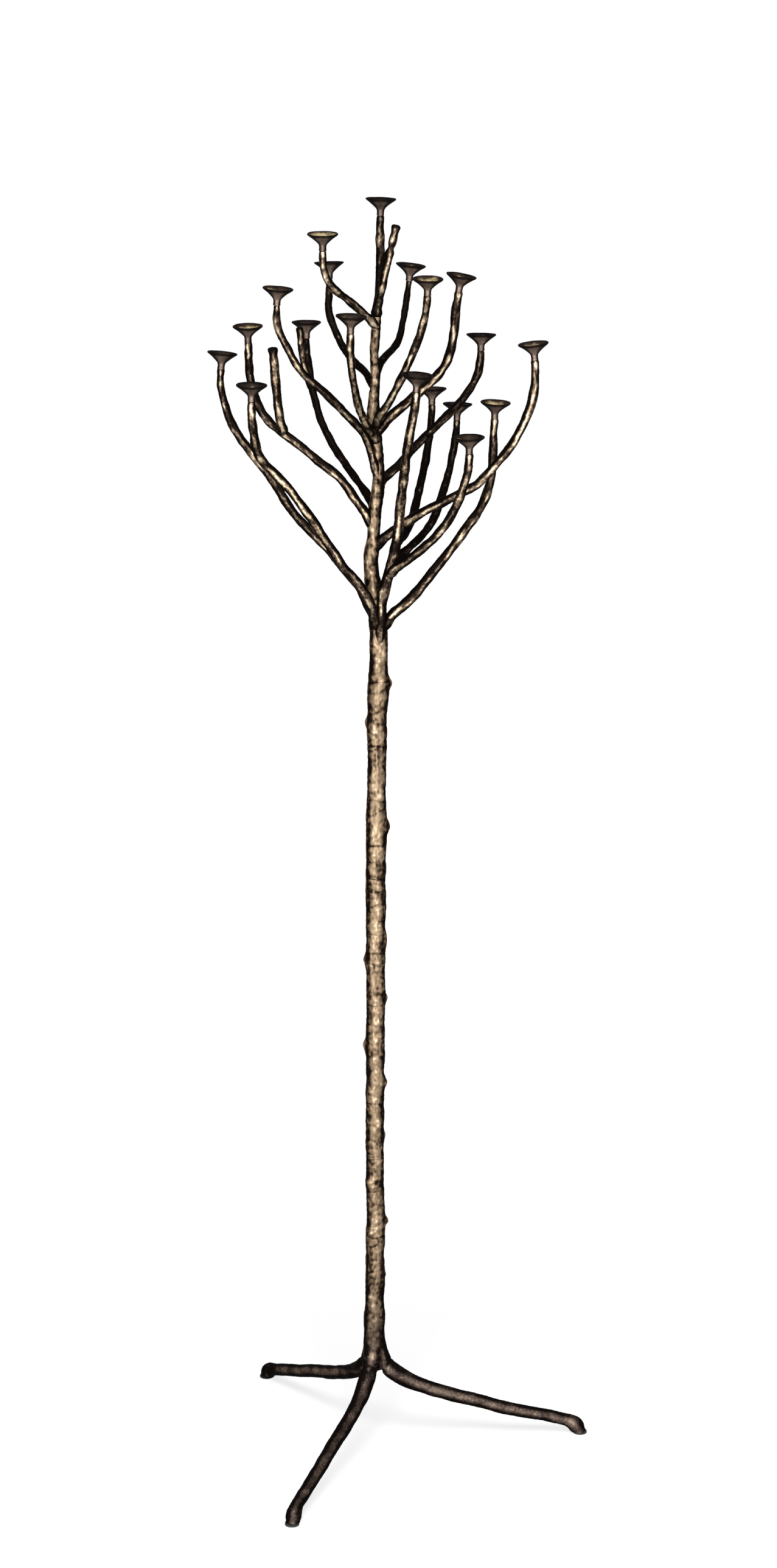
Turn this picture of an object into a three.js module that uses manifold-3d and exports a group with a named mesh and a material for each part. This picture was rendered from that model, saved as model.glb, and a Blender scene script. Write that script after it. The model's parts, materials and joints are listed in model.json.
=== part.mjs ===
// A floor-standing candle tree: a cast tripod, a bark-covered trunk in three lengths and a crown of
// curved twigs that each end in a funnel cup for one candle. Millimetres, +Z up, origin on the floor
// under the middle of the whole tree. Seen from -Y, +X is to the right.
import * as THREE from 'three';
import { mergeVertices } from 'three/addons/utils/BufferGeometryUtils.js';
import Module from 'manifold-3d';

const wasm = await Module();
wasm.setup();

// Clearance left between pieces that touch
const gap = 0.3;

// Tripod
const footSpread = { left: 293, front: 301, right: 309 };
const footAzimuth = { left: 125, front: 247.5, right: 6.3 };
// How far each leg sags at its knee, and how far it dips beside the hub
const legSag = { left: 5, front: 0.5, right: 3 };
const legDip = { left: 0, front: 3, right: 0 };
const legGirth = [[0, 12], [0.12, 12.2], [0.17, 12.6], [0.22, 11.9], [0.32, 10.5], [0.6, 9.8], [0.93, 9.1]];
const hoof = { radius: 12, top: 19, bottom: 5 };
const padRadius = 10.4;
const padThickness = 2.5;
const legDowel = { radius: 3.5, from: 9, to: 20.5, height: 136 };

// Hub and the rod that draws it up against the trunk
const hubBottom = 118;
const hubTop = 185;
const hubRadius = 16.5;
const counterbore = { radius: 12.5, depth: 12 };
const rodRadius = 5;
const rodBottom = 118.5;
const rodTop = 240;
const washer = { radius: 11, thickness: 2 };
const nut = { radius: 9.8, thickness: 8 };

// Trunk: its line, from the hub to the foot of the leader, and the heights where its lengths meet
const trunkLine = [
  [0, 0, 185], [2, 2, 330], [1, 1, 450], [2, -2, 635], [3, 0, 870], [5, 2, 1086], [7, 1, 1187],
  [7, 0, 1226], [5.5, 0, 1252], [0.5, 0, 1283], [-3.5, 0, 1317], [-2.5, 0, 1340], [0, 0, 1361],
  [1.5, 0, 1395], [6, 0, 1423], [7.5, 0, 1445], [6, 0, 1477], [0, 0, 1519], [3, 0, 1586],
  [1.5, 0, 1622], [4, 0, 1655], [4, 0, 1670],
];
const trunkGirth = [
  [185, 15.8], [225, 14], [300, 13.5], [325, 14], [375, 13.3], [450, 13.2], [525, 13.4], [575, 13.4],
  [600, 13.9], [640, 13.4], [700, 13.8], [800, 13.7], [832, 14.7], [858, 14], [884, 14.6], [908, 14.1],
  [927, 15], [960, 15], [985, 13.9], [1005, 13.1], [1040, 13.2], [1061, 13.9], [1090, 13.4],
  [1140, 14.8], [1168, 14.3], [1187, 13.2], [1226, 12.3], [1252, 13.2], [1283, 12.6], [1317, 10.3],
  [1339, 10.6], [1361, 9.3], [1380, 9.7], [1400, 9.3], [1423, 9.5], [1445, 8.5], [1476, 8.3],
  [1505, 9.8], [1520, 11], [1538, 9.4], [1562, 7.2], [1600, 6.6], [1670, 6.3],
];
const trunkJoints = [871, 1190];
const studHalfLength = 22;
// Knots left by shed twigs: height, azimuth and how far each stands out
const knots = [
  [265, 10, 3], [290, 140, 2.5], [350, -8, 4.4], [410, 230, 3], [482, 20, 2.4], [520, 110, 3],
  [563, -5, 3.4], [619, 178, 3.2], [655, 300, 3], [690, 12, 3], [749, 184, 3], [800, 80, 3.2],
  [905, 250, 2.6], [946, -4, 4.2], [1010, 120, 3], [1097, 176, 3.4], [1154, 5, 4], [1180, 262, 2.6],
];
const knotHalfHeight = 9;
const knotHalfWidth = 0.5;

// Cups: a thin funnel on a short neck, with a low spike for the candle
const cup = {
  rimRadius: 21, lip: 1.5, funnelHeight: 15, neckRadius: 5.1, neckHeight: 8,
  floorRadius: 4.6, floorHeight: 11.5, spikeRadius: 1.7, spikeTip: 16.5, segments: 12,
};
const spigot = { radius: 2.5, length: 6.5 };

// Branches in the order that they are cut to fit. Each rises from its carrier through a few bends
// to the centre of its cup's rim. lean is how far the cup tips to the right and to the front, in
// degrees, and radii are those of the root and of the tip.
const branches = [
  { name: 'leader', on: 'crown_stem', cup: 1, radii: [6.2, 5.5], lean: [2, 0], bends:
    [[4, 0, 1670], [7, 6, 1695], [9, 11, 1723], [10, 17, 1752]], rim: [10.5, 22, 1828.5] },
  { name: 'branch_19', on: 'crown_stem', cup: 19, radii: [7.8, 5.9], lean: [3, 3], bends:
    [[7, 0, 1226], [19, -6, 1247], [53, -10, 1278], [76, -11, 1307], [105, -8, 1343], [130, -4, 1377],
      [151, 3, 1407], [162, 8, 1437], [166, 14, 1466]], rim: [169.5, 18, 1549] },
  { name: 'branch_11', on: 'crown_stem', cup: 11, radii: [7, 5.7], lean: [6, -2], bends:
    [[3, 3, 1243], [-10, -6, 1276], [-25, -12, 1303], [-41, -15, 1320], [-55.5, -17, 1341],
      [-70.5, -16, 1357], [-92, -12, 1378], [-111, -6, 1398], [-127.5, 0, 1422], [-141.5, 8, 1444],
      [-162, 16, 1469], [-186, 28, 1498], [-201, 34, 1525]], rim: [-209.5, 39, 1615] },
  { name: 'branch_12', on: 'crown_stem', cup: 12, radii: [7, 5.9], lean: [1, 3], bends:
    [[3, -8, 1252], [-9, -24, 1282], [-26, -36, 1310], [-41, -48, 1327.5], [-54, -56, 1351],
      [-66.5, -62, 1370], [-82, -70, 1397], [-98, -78, 1420], [-112.5, -84, 1442.5],
      [-136, -93, 1469], [-155.5, -108, 1495], [-160, -127, 1521]], rim: [-162.5, -146, 1596] },
  { name: 'branch_15', on: 'crown_stem', cup: 15, radii: [8, 5.9], lean: [4, 4], bends:
    [[7, -8, 1258], [17, -22, 1300], [27, -31, 1337], [33.5, -36, 1372], [37, -46, 1410],
      [42, -76, 1461], [46, -101, 1498], [50.5, -120, 1528]], rim: [60, -143, 1609] },
  { name: 'branch_18', on: 'branch_15', cup: 18, radii: [6.2, 5.9], lean: [-1, 3], bends:
    [[22, -27, 1319], [38.5, -48, 1333], [62.5, -67, 1354], [86.5, -84, 1380], [103.5, -95, 1404],
      [115.5, -106, 1430.5], [122.5, -115, 1452]], rim: [130, -123, 1522] },
  { name: 'branch_17', on: 'branch_15', cup: 17, radii: [5.6, 5.4], lean: [2, -2], bends:
    [[27, -29, 1335], [47.5, -3, 1346], [61.5, 20, 1355], [77, 42, 1368.5], [87.5, 64, 1384],
      [97, 92, 1408], [106, 118, 1432], [112.5, 139, 1458]], rim: [119.5, 157, 1527] },
  { name: 'branch_16', on: 'branch_15', cup: 16, radii: [6, 5.5], lean: [0, -2], bends:
    [[31, -34, 1362], [45, 6, 1368], [57.5, 63, 1390], [65, 101, 1415], [72, 132, 1440],
      [79.5, 162, 1479]], rim: [83, 179, 1546] },
  { name: 'branch_14', on: 'crown_stem', cup: 14, radii: [6.6, 6], lean: [-6, 2], bends:
    [[-1, 0, 1350], [20, 0, 1366], [52.5, -8, 1389.5], [76, -20, 1405.5], [101, -31, 1419.5],
      [124.5, -36, 1433], [143.5, -39, 1443.5], [162, -42, 1464], [180, -43, 1485], [197, -46, 1510],
      [210.5, -50, 1540], [218, -53, 1564]], rim: [218, -56, 1640] },
  { name: 'branch_8', on: 'crown_stem', cup: 8, radii: [6.4, 5.8], lean: [-1, 4], bends:
    [[0, 0, 1384], [-21, -8, 1412], [-47.5, -11, 1449], [-78.5, -8, 1472.5], [-110, 0, 1498],
      [-137.5, 11, 1516], [-154, 20, 1533], [-165, 25, 1556], [-171, 31, 1579]],
    rim: [-174, 36, 1652.5] },
  { name: 'branch_9', on: 'crown_stem', cup: 9, radii: [5.6, 5.1], lean: [0, 0], bends:
    [[3, 3, 1404], [-12.5, 31, 1423], [-36.5, 67, 1450], [-57, 92, 1477], [-73, 115, 1505],
      [-83, 132, 1535], [-89, 144, 1562]], rim: [-95.5, 160, 1643] },
  { name: 'branch_13', on: 'crown_stem', cup: 13, radii: [6.4, 5.4], lean: [1, -2], bends:
    [[5, 0, 1437], [19, 14, 1447], [40.5, 28, 1464.5], [60.5, 45, 1485.5], [79.5, 60, 1501],
      [102.5, 76, 1521], [117, 87, 1534], [134, 99, 1553], [145, 106, 1572]], rim: [151.5, 116, 1631] },
  { name: 'branch_4', on: 'crown_stem', cup: 4, radii: [6.2, 5.1], lean: [5, 2], bends:
    [[4, -1, 1466], [-15, -20, 1514], [-37.5, -39, 1540.5], [-63.5, -56, 1570.5], [-88, -64, 1592.5],
      [-104, -67, 1611.5], [-116, -69, 1635.5], [-127, -69, 1657]], rim: [-128.5, -67, 1716] },
  { name: 'branch_10', on: 'crown_stem', cup: 10, radii: [5.6, 5.3], lean: [3, 3], bends:
    [[2, -3, 1498], [-10, -48, 1529], [-19, -84, 1555.5], [-24, -115, 1584], [-28, -137, 1611],
      [-30, -153, 1640]], rim: [-28.5, -162, 1690] },
  { name: 'branch_7', on: 'crown_stem', cup: 7, radii: [6.9, 6], lean: [10, 2], bends:
    [[2, 0, 1510], [23, 0, 1531], [47.5, -3, 1552.5], [75, -6, 1577], [93, -8, 1595],
      [104, -11, 1615], [109, -11, 1638], [112, -11, 1662]], rim: [121, -7, 1727] },
  { name: 'branch_6', on: 'crown_stem', cup: 6, radii: [5.6, 5.5], lean: [1, 5], bends:
    [[2, -3, 1522], [15, -28, 1545], [29, -45, 1572], [42, -59, 1599], [52, -67, 1624],
      [62, -76, 1649], [69, -81, 1677]], rim: [74, -84, 1731] },
  { name: 'branch_3', on: 'crown_stem', cup: 3, radii: [5.2, 5], lean: [-1, -3], bends:
    [[3, 0, 1571], [-11.5, 36, 1588], [-27.5, 67, 1600], [-43.5, 90, 1617], [-55, 106, 1641],
      [-64, 119, 1666]], rim: [-62.5, 129, 1730.5] },
  { name: 'branch_5', on: 'crown_stem', cup: 5, radii: [4.9, 4.6], lean: [7, 0], bends:
    [[3, 3, 1593], [16, 34, 1611], [30.5, 59, 1621], [38, 81, 1638], [43, 98, 1661]],
    rim: [52.5, 112, 1729] },
  { name: 'branch_2', on: 'crown_stem', cup: 2, radii: [5.6, 5.1], lean: [0, 4], bends:
    [[3.5, -1, 1658], [-12, -22, 1676], [-34.5, -48, 1698.5], [-52.5, -66, 1715], [-64, -77, 1733]],
    rim: [-67.5, -84, 1791] },
];

// Bare twigs without a cup, each ending in a cut face
const twigs = [
  { name: 'bare_twig_left', on: 'branch_8', radii: [5.8, 6.6], line:
    [[-124, 6, 1508], [-129, -8, 1529], [-132, -20, 1558], [-135, -28, 1598], [-137.5, -34, 1631]] },
  { name: 'bare_twig_back', on: 'branch_9', radii: [5, 5], line:
    [[-88, 141, 1556], [-97, 129, 1579], [-101, 120, 1605], [-102.5, 115, 1626], [-104.5, 112, 1641]] },
  { name: 'bare_twig_top', on: 'leader', radii: [5.5, 5.6], line:
    [[7, 5, 1690], [11, -17, 1705], [15.5, -27, 1727], [19.5, -31, 1747], [25, -35, 1771],
      [31.5, -39, 1798]] },
];
const dowel = { radius: 2.6, inside: 4.5, outside: 3 };
// How much thinner a twig is at its very tip, below the cup or the cut
const neckTaper = 0.5;

// How finely the bars are faceted: sides round them and millimetres along them
const trunkFacets = { sides: 10, step: 14 };
const legFacets = { sides: 8, step: 16 };
const twigFacets = { sides: 8, step: 20 };
const pegSides = 6;

// Finishes
const barkBronze = new THREE.MeshStandardMaterial({ color: 0x6a5640, roughness: 0.5, metalness: 0.8 });
const darkBronze = new THREE.MeshStandardMaterial({ color: 0x4c3f37, roughness: 0.55, metalness: 0.8 });
const cupBronze = new THREE.MeshStandardMaterial({ color: 0x584c42, roughness: 0.5, metalness: 0.8 });
const plainSteel = new THREE.MeshStandardMaterial({ color: 0x77777a, roughness: 0.4, metalness: 1 });
const blackRubber = new THREE.MeshStandardMaterial({ color: 0x1c1b1a, roughness: 0.9, metalness: 0 });

const vector = ([x, y, z]) => new THREE.Vector3(x, y, z);

// A closed geometry as a solid that can be joined and cut
function solidOf(geometry) {
  const bare = geometry.clone();
  bare.deleteAttribute('normal');
  bare.deleteAttribute('uv');
  const merged = mergeVertices(bare, 1e-4);
  return new wasm.Manifold(new wasm.Mesh({
    numProp: 3,
    vertProperties: new Float32Array(merged.attributes.position.array),
    triVerts: new Uint32Array(merged.index.array),
  }));
}

// The solid back as a geometry
function geometryOf(solid) {
  const mesh = solid.getMesh();
  const geometry = new THREE.BufferGeometry();
  geometry.setAttribute('position', new THREE.BufferAttribute(mesh.vertProperties, 3));
  geometry.setIndex(new THREE.BufferAttribute(mesh.triVerts, 1));
  geometry.computeVertexNormals();
  return geometry;
}

// A value read off a list of [place, value] pairs, smoothly between them
function alongList(list, place) {
  const last = list.length - 1;
  if (place <= list[0][0]) {
    return list[0][1];
  }
  if (place >= list[last][0]) {
    return list[last][1];
  }
  const i = list.findIndex(([at]) => at > place);
  const [from, start] = list[i - 1];
  const [to, end] = list[i];
  return start + (end - start) * THREE.MathUtils.smoothstep(place, from, to);
}

// A bar along a smooth line: a thin wire is swept first, then each ring of it is let out to the
// radius asked for at its share of the length, its height and its azimuth. A faceted section gets the
// area of the round one.
function bar(points, radiusAt, { sides, step }) {
  const facing = (Math.PI * 2) / sides;
  const proud = Math.sqrt(facing / Math.sin(facing));
  const line = new THREE.CatmullRomCurve3(points.map(vector), false, 'centripetal');
  const steps = Math.max(4, Math.round(line.getLength() / step));
  const outline = new THREE.Shape();
  outline.absarc(0, 0, 1, 0, Math.PI * 2, false);
  const wire = new THREE.ExtrudeGeometry(outline, {
    steps, extrudePath: line, curveSegments: sides / 2, bevelEnabled: false,
  });
  const centres = line.getSpacedPoints(steps);
  const place = wire.attributes.position;
  const spot = new THREE.Vector3();
  for (let i = 0; i < place.count; i += 1) {
    spot.fromBufferAttribute(place, i);
    let ring = 0;
    centres.forEach((centre, k) => {
      if (centre.distanceToSquared(spot) < centres[ring].distanceToSquared(spot)) {
        ring = k;
      }
    });
    const centre = centres[ring];
    const out = spot.clone().sub(centre).normalize();
    const azimuth = Math.atan2(out.y, out.x);
    spot.copy(centre).addScaledVector(out, proud * radiusAt(ring / steps, centre.z, azimuth));
    place.setXYZ(i, spot.x, spot.y, spot.z);
  }
  return solidOf(wire);
}

// A round peg of the given radius between two points
function peg(from, to, radius, sides = pegSides) {
  const along = to.clone().sub(from);
  const geometry = new THREE.CylinderGeometry(radius, radius, along.length(), sides);
  geometry.rotateX(Math.PI / 2);
  const turn = new THREE.Quaternion().setFromUnitVectors(new THREE.Vector3(0, 0, 1), along.normalize());
  geometry.applyQuaternion(turn);
  const middle = from.clone().add(to).multiplyScalar(0.5);
  geometry.translate(middle.x, middle.y, middle.z);
  return solidOf(geometry);
}

const pieces = new Map();

function keep(name, solid, material) {
  pieces.set(name, { solid, material });
}

function cutFrom(name, cutter) {
  const piece = pieces.get(name);
  piece.solid = piece.solid.subtract(cutter);
}

// Trunk

function knotSwell(height, azimuth) {
  let swell = 0;
  for (const [at, degrees, proud] of knots) {
    const turn = azimuth - THREE.MathUtils.degToRad(degrees);
    const aside = Math.atan2(Math.sin(turn), Math.cos(turn)) / knotHalfWidth;
    const above = (height - at) / knotHalfHeight;
    swell += proud * Math.exp(-aside * aside - above * above);
  }
  return swell;
}

function trunkRadius(height, azimuth) {
  const bark = 0.45 * Math.sin(height / 9 + azimuth * 2) + 0.3 * Math.sin(height / 14 - azimuth * 3);
  return alongList(trunkGirth, height) + bark + knotSwell(height, azimuth);
}

function trunkBar(extra) {
  return bar(trunkLine, (share, height, azimuth) => trunkRadius(height, azimuth) + extra, trunkFacets);
}

function slab(bottom, top) {
  const geometry = new THREE.BoxGeometry(80, 80, top - bottom);
  geometry.translate(0, 0, (bottom + top) / 2);
  return solidOf(geometry);
}

function trunkCentre(height) {
  const line = trunkLine.map(([x, , z]) => [z, x]);
  const depth = trunkLine.map(([, y, z]) => [z, y]);
  return new THREE.Vector3(alongList(line, height), alongList(depth, height), height);
}

function makeTrunk() {
  const whole = trunkBar(0);
  const ends = [hubTop, ...trunkJoints, 1700];
  ['trunk_lower', 'trunk_upper', 'crown_stem'].forEach((name, i) => {
    keep(name, whole.intersect(slab(ends[i] + gap / 2, ends[i + 1] - gap / 2)), barkBronze);
  });
  // A plain stud holds each pair of lengths in line
  const joined = [['trunk_lower', 'trunk_upper', 'trunk_stud'], ['trunk_upper', 'crown_stem', 'crown_stud']];
  joined.forEach(([below, above, stud], i) => {
    const middle = trunkCentre(trunkJoints[i]);
    const reach = new THREE.Vector3(0, 0, studHalfLength);
    const spare = new THREE.Vector3(0, 0, studHalfLength + 2);
    keep(stud, peg(middle.clone().sub(reach), middle.clone().add(reach), rodRadius, 12), plainSteel);
    const bore = peg(middle.clone().sub(spare), middle.clone().add(spare), rodRadius + gap, 12);
    cutFrom(below, bore);
    cutFrom(above, bore);
  });
}

// Tripod

function hubSolid(extra) {
  const outline = [
    [hubBottom - extra, hubRadius - 1.2 + extra], [hubBottom + 3, hubRadius + extra],
    [hubBottom + 24, hubRadius + extra], [hubBottom + 45, 15.9 + extra],
    [hubTop - gap / 2 + extra, 15.7 + extra],
  ];
  const closed = [[outline[0][0], 0], ...outline, [outline.at(-1)[0], 0]];
  const profile = closed.map(([height, radius]) => new THREE.Vector2(radius, height));
  const geometry = new THREE.LatheGeometry(profile, 16);
  geometry.rotateX(Math.PI / 2);
  return solidOf(geometry);
}

// A leg flows down out of the hub, runs out low over the floor, bends at its knee and ends in a hoof
function legLine(spread, sag, dip) {
  return [
    [2, 165], [6, 144], [16.5, 124], [27, 112], [40, 102.5 - dip / 2], [55, 93.5 - dip],
    [85, 81 - dip], [117, 69.5 - dip / 2], [150, 60], [200, 45 - sag / 2], [spread - 45, 30 - sag / 2],
    [spread - 25, 25 - sag], [spread - 11, 18.5 - sag / 2], [spread - 4, 10.5], [spread, padThickness + gap],
  ];
}

function legRadius(share, height) {
  const foot = THREE.MathUtils.smoothstep(hoof.top - height, 0, hoof.top - hoof.bottom);
  const limb = alongList(legGirth, share);
  return limb + (hoof.radius - limb) * foot + 0.25 * Math.sin(share * 60);
}

function makeTripod() {
  keep('hub', hubSolid(0), barkBronze);
  const grownHub = hubSolid(gap);
  const rodFoot = new THREE.Vector3(0, 0, rodBottom);
  const rodHead = new THREE.Vector3(0, 0, rodTop);
  const rodBore = peg(new THREE.Vector3(0, 0, rodBottom - 5), new THREE.Vector3(0, 0, rodTop + 2),
    rodRadius + gap, 12);
  const boreTop = hubBottom + counterbore.depth;
  const nutWay = (extra) => peg(new THREE.Vector3(0, 0, hubBottom - 25), new THREE.Vector3(0, 0, boreTop),
    counterbore.radius + extra, 20);
  const floorCut = slab(-40, padThickness + gap);
  for (const side of Object.keys(footSpread)) {
    const turn = THREE.MathUtils.degToRad(footAzimuth[side]);
    const outward = new THREE.Vector3(Math.cos(turn), Math.sin(turn), 0);
    const line = legLine(footSpread[side], legSag[side], legDip[side])
      .map(([out, z]) => [out * outward.x, out * outward.y, z]);
    const tenonAt = (reach) => outward.clone().multiplyScalar(reach).setZ(legDowel.height);
    const tenon = peg(tenonAt(legDowel.from), tenonAt(legDowel.to), legDowel.radius);
    const socket = peg(tenonAt(legDowel.from - gap), tenonAt(legDowel.to), legDowel.radius + gap);
    const limb = bar(line, legRadius, legFacets).subtract(grownHub).subtract(nutWay(gap));
    keep(`leg_${side}`, limb.add(tenon).subtract(floorCut.translate(line.at(-1)[0], line.at(-1)[1], 0)),
      darkBronze);
    cutFrom('hub', socket);
    const pad = new THREE.CylinderGeometry(padRadius, padRadius, padThickness, 14);
    pad.rotateX(Math.PI / 2);
    pad.translate(line.at(-1)[0], line.at(-1)[1], padThickness / 2);
    keep(`foot_pad_${side}`, solidOf(pad), blackRubber);
  }
  cutFrom('hub', nutWay(0));
  cutFrom('hub', rodBore);
  cutFrom('trunk_lower', rodBore);
  keep('tie_rod', peg(rodFoot, rodHead, rodRadius, 12), plainSteel);
  const washerTop = boreTop - gap;
  const nutTop = washerTop - washer.thickness - gap;
  const washerDisc = peg(new THREE.Vector3(0, 0, washerTop - washer.thickness),
    new THREE.Vector3(0, 0, washerTop), washer.radius, 20);
  keep('tie_washer', washerDisc.subtract(rodBore), plainSteel);
  const nutBlock = peg(new THREE.Vector3(0, 0, nutTop - nut.thickness), new THREE.Vector3(0, 0, nutTop),
    nut.radius, 6);
  keep('tie_nut', nutBlock.subtract(rodBore), plainSteel);
}

// Crown

function twigRadius(root, tip, seed) {
  return (share, height, azimuth) => {
    const bark = 0.22 * Math.sin(share * 37 + seed) + 0.2 * Math.sin(share * 61 + azimuth * 2 + seed * 3);
    const collar = 1.6 * Math.exp(-share * 16);
    const neck = neckTaper * THREE.MathUtils.smoothstep(share, 0.9, 1);
    return THREE.MathUtils.lerp(root, tip, share ** 0.7) + collar + bark - neck;
  };
}

// The way that a cup faces, from how far it leans to the right and to the front
function cupAxis([right, front]) {
  const aside = Math.tan(THREE.MathUtils.degToRad(right));
  const forward = -Math.tan(THREE.MathUtils.degToRad(front));
  return new THREE.Vector3(aside, forward, 1).normalize();
}

function twigPair(line, radii, seed) {
  const radiusAt = twigRadius(radii[0], radii[1], seed);
  const grownAt = (...at) => radiusAt(...at) + gap;
  return { body: bar(line, radiusAt, twigFacets), grown: bar(line, grownAt, twigFacets) };
}

// Where a twig's line leaves the solid that carries it
function leaving(line, carrierSolid) {
  const curve = new THREE.CatmullRomCurve3(line.map(vector), false, 'centripetal');
  const probe = 0.6;
  for (let share = 0; share < 0.5; share += 0.004) {
    const spot = curve.getPointAt(share);
    const bead = new THREE.BoxGeometry(probe, probe, probe).translate(spot.x, spot.y, spot.z);
    if (solidOf(bead).intersect(carrierSolid).isEmpty()) {
      return { spot, toward: curve.getTangentAt(share) };
    }
  }
  throw new Error('a twig never leaves its carrier');
}

// The solids that later twigs are cut by: each carrier and twig, let out by the clearance
const grownBy = new Map();

function largestOf(solid) {
  return solid.decompose().sort((a, b) => b.volume() - a.volume())[0];
}

// A twig is cut to fit its carrier and its neighbours, and a dowel holds its root in the carrier
function plantTwig(name, carrier, line, radii, seed) {
  const { body, grown } = twigPair(line, radii, seed);
  const { spot, toward } = leaving(line, pieces.get(carrier).solid);
  const inner = spot.clone().addScaledVector(toward, -dowel.inside);
  const outer = spot.clone().addScaledVector(toward, dowel.outside + radii[0]);
  let rooted = largestOf(body.subtract(grownBy.get(carrier))).add(peg(inner, outer, dowel.radius));
  for (const [neighbour, solid] of grownBy) {
    if (neighbour !== carrier) {
      rooted = rooted.subtract(solid);
    }
  }
  inner.addScaledVector(toward, -gap);
  cutFrom(carrier, peg(inner, outer, dowel.radius + gap));
  grownBy.set(name, grown);
  return largestOf(rooted);
}

function makeCup(number, foot, axis) {
  const outline = [
    [0, spigot.length + 2 * gap], [spigot.radius + gap, spigot.length + 2 * gap],
    [spigot.radius + gap, 0], [cup.neckRadius, 0], [cup.neckRadius - 0.4, cup.neckHeight],
    [9.8, cup.neckHeight + 5.6], [cup.rimRadius, cup.neckHeight + cup.funnelHeight],
    [cup.rimRadius - cup.lip, cup.neckHeight + cup.funnelHeight + 0.5],
    [9, cup.neckHeight + 7.4], [cup.floorRadius, cup.floorHeight],
    [cup.spikeRadius, cup.floorHeight], [0, cup.spikeTip],
  ];
  const geometry = new THREE.LatheGeometry(outline.map(([r, z]) => new THREE.Vector2(r, z)), cup.segments);
  geometry.rotateX(Math.PI / 2);
  const mesh = new THREE.Mesh(geometryOf(solidOf(geometry)), cupBronze);
  mesh.name = `cup_${number}`;
  mesh.position.copy(foot).addScaledVector(axis, gap);
  mesh.quaternion.setFromUnitVectors(new THREE.Vector3(0, 0, 1), axis);
  return mesh;
}

function makeCrown() {
  const cups = [];
  const up = cup.neckHeight + cup.funnelHeight + gap;
  grownBy.set('crown_stem', trunkBar(gap));
  branches.forEach((branch, i) => {
    const axis = cupAxis(branch.lean);
    const tip = vector(branch.rim).addScaledVector(axis, -up);
    const below = tip.clone().addScaledVector(axis, -14);
    const line = [...branch.bends, below.toArray(), tip.toArray()];
    const stem = plantTwig(branch.name, branch.on, line, branch.radii, i);
    const spigotEnd = tip.clone().addScaledVector(axis, spigot.length);
    const spigotFoot = tip.clone().addScaledVector(axis, -3);
    keep(branch.name, stem.add(peg(spigotFoot, spigotEnd, spigot.radius)), barkBronze);
    cups.push(makeCup(branch.cup, tip, axis));
  });
  twigs.forEach((twig, i) => {
    keep(twig.name, plantTwig(twig.name, twig.on, twig.line, twig.radii, 40 + i), barkBronze);
  });
  return cups;
}

makeTrunk();
makeTripod();
const cups = makeCrown();

const candleTree = new THREE.Group();
const tree = new THREE.Group();
for (const [name, { solid, material }] of pieces) {
  const mesh = new THREE.Mesh(geometryOf(solid), material);
  mesh.name = name;
  tree.add(mesh);
}
tree.add(...cups);
candleTree.add(tree);

// The origin goes under the middle of the whole tree
const reach = new THREE.Box3().setFromObject(candleTree);
const middle = reach.getCenter(new THREE.Vector3());
tree.position.set(-middle.x, -middle.y, 0);

export default candleTree;
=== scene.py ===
import json
import math

import bmesh
import bpy
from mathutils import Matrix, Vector, noise
from mathutils.bvhtree import BVHTree


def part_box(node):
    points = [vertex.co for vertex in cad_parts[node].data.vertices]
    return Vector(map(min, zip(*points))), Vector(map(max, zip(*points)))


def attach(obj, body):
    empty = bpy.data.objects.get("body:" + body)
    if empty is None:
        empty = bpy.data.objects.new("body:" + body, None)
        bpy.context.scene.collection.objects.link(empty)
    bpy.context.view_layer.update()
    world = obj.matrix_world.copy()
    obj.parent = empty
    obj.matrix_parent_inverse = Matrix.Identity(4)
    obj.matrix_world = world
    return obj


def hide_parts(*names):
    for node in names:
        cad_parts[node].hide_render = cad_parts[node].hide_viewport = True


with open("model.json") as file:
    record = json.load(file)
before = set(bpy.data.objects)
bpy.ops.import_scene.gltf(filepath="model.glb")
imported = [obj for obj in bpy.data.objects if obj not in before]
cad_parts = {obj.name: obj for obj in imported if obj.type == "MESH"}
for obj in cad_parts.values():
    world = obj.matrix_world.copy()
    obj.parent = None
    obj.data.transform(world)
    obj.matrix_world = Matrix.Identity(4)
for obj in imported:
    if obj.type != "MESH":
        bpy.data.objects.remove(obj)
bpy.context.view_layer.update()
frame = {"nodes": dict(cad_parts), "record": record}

nodes = frame["nodes"]
body = "root"
slotOf = {part["node"]: part["material_slot"] for part in frame["record"]["subparts"]}
hubLow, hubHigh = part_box("hub")
trunkFoot = Vector(((hubLow.x + hubHigh.x) / 2, (hubLow.y + hubHigh.y) / 2, 0))
print("frame loaded:", len(nodes), "nodes")


# Camera, at the height and distance from which the tree was pictured

camera = {
    "aside": 0.021,  # to the right of the trunk
    "away": 5.0,
    "height": 2.273,
    "tipDown": 14.2,
    "focalPixels": 5976,
    "imageHeight": 2576,
    "film": 36.0,
}


def placeCamera():
    data = bpy.data.cameras.new("treeCamera")
    data.sensor_fit = "VERTICAL"
    data.sensor_height = camera["film"]
    data.lens = camera["focalPixels"] / camera["imageHeight"] * camera["film"]
    data.clip_end = 200
    eye = bpy.data.objects.new("treeCamera", data)
    eye.location = (trunkFoot.x + camera["aside"], trunkFoot.y - camera["away"], camera["height"])
    eye.rotation_euler = (math.radians(90 - camera["tipDown"]), 0, 0)
    bpy.context.collection.objects.link(eye)
    bpy.context.scene.camera = eye


placeCamera()


# Finishes

def newMaterial(name):
    material = bpy.data.materials.new(name)
    material.use_nodes = True
    tree = material.node_tree
    return material, tree, tree.nodes["Principled BSDF"]


def attribute(tree, name, output):
    reader = tree.nodes.new("ShaderNodeAttribute")
    reader.attribute_name = name
    return reader.outputs[output]


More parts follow.
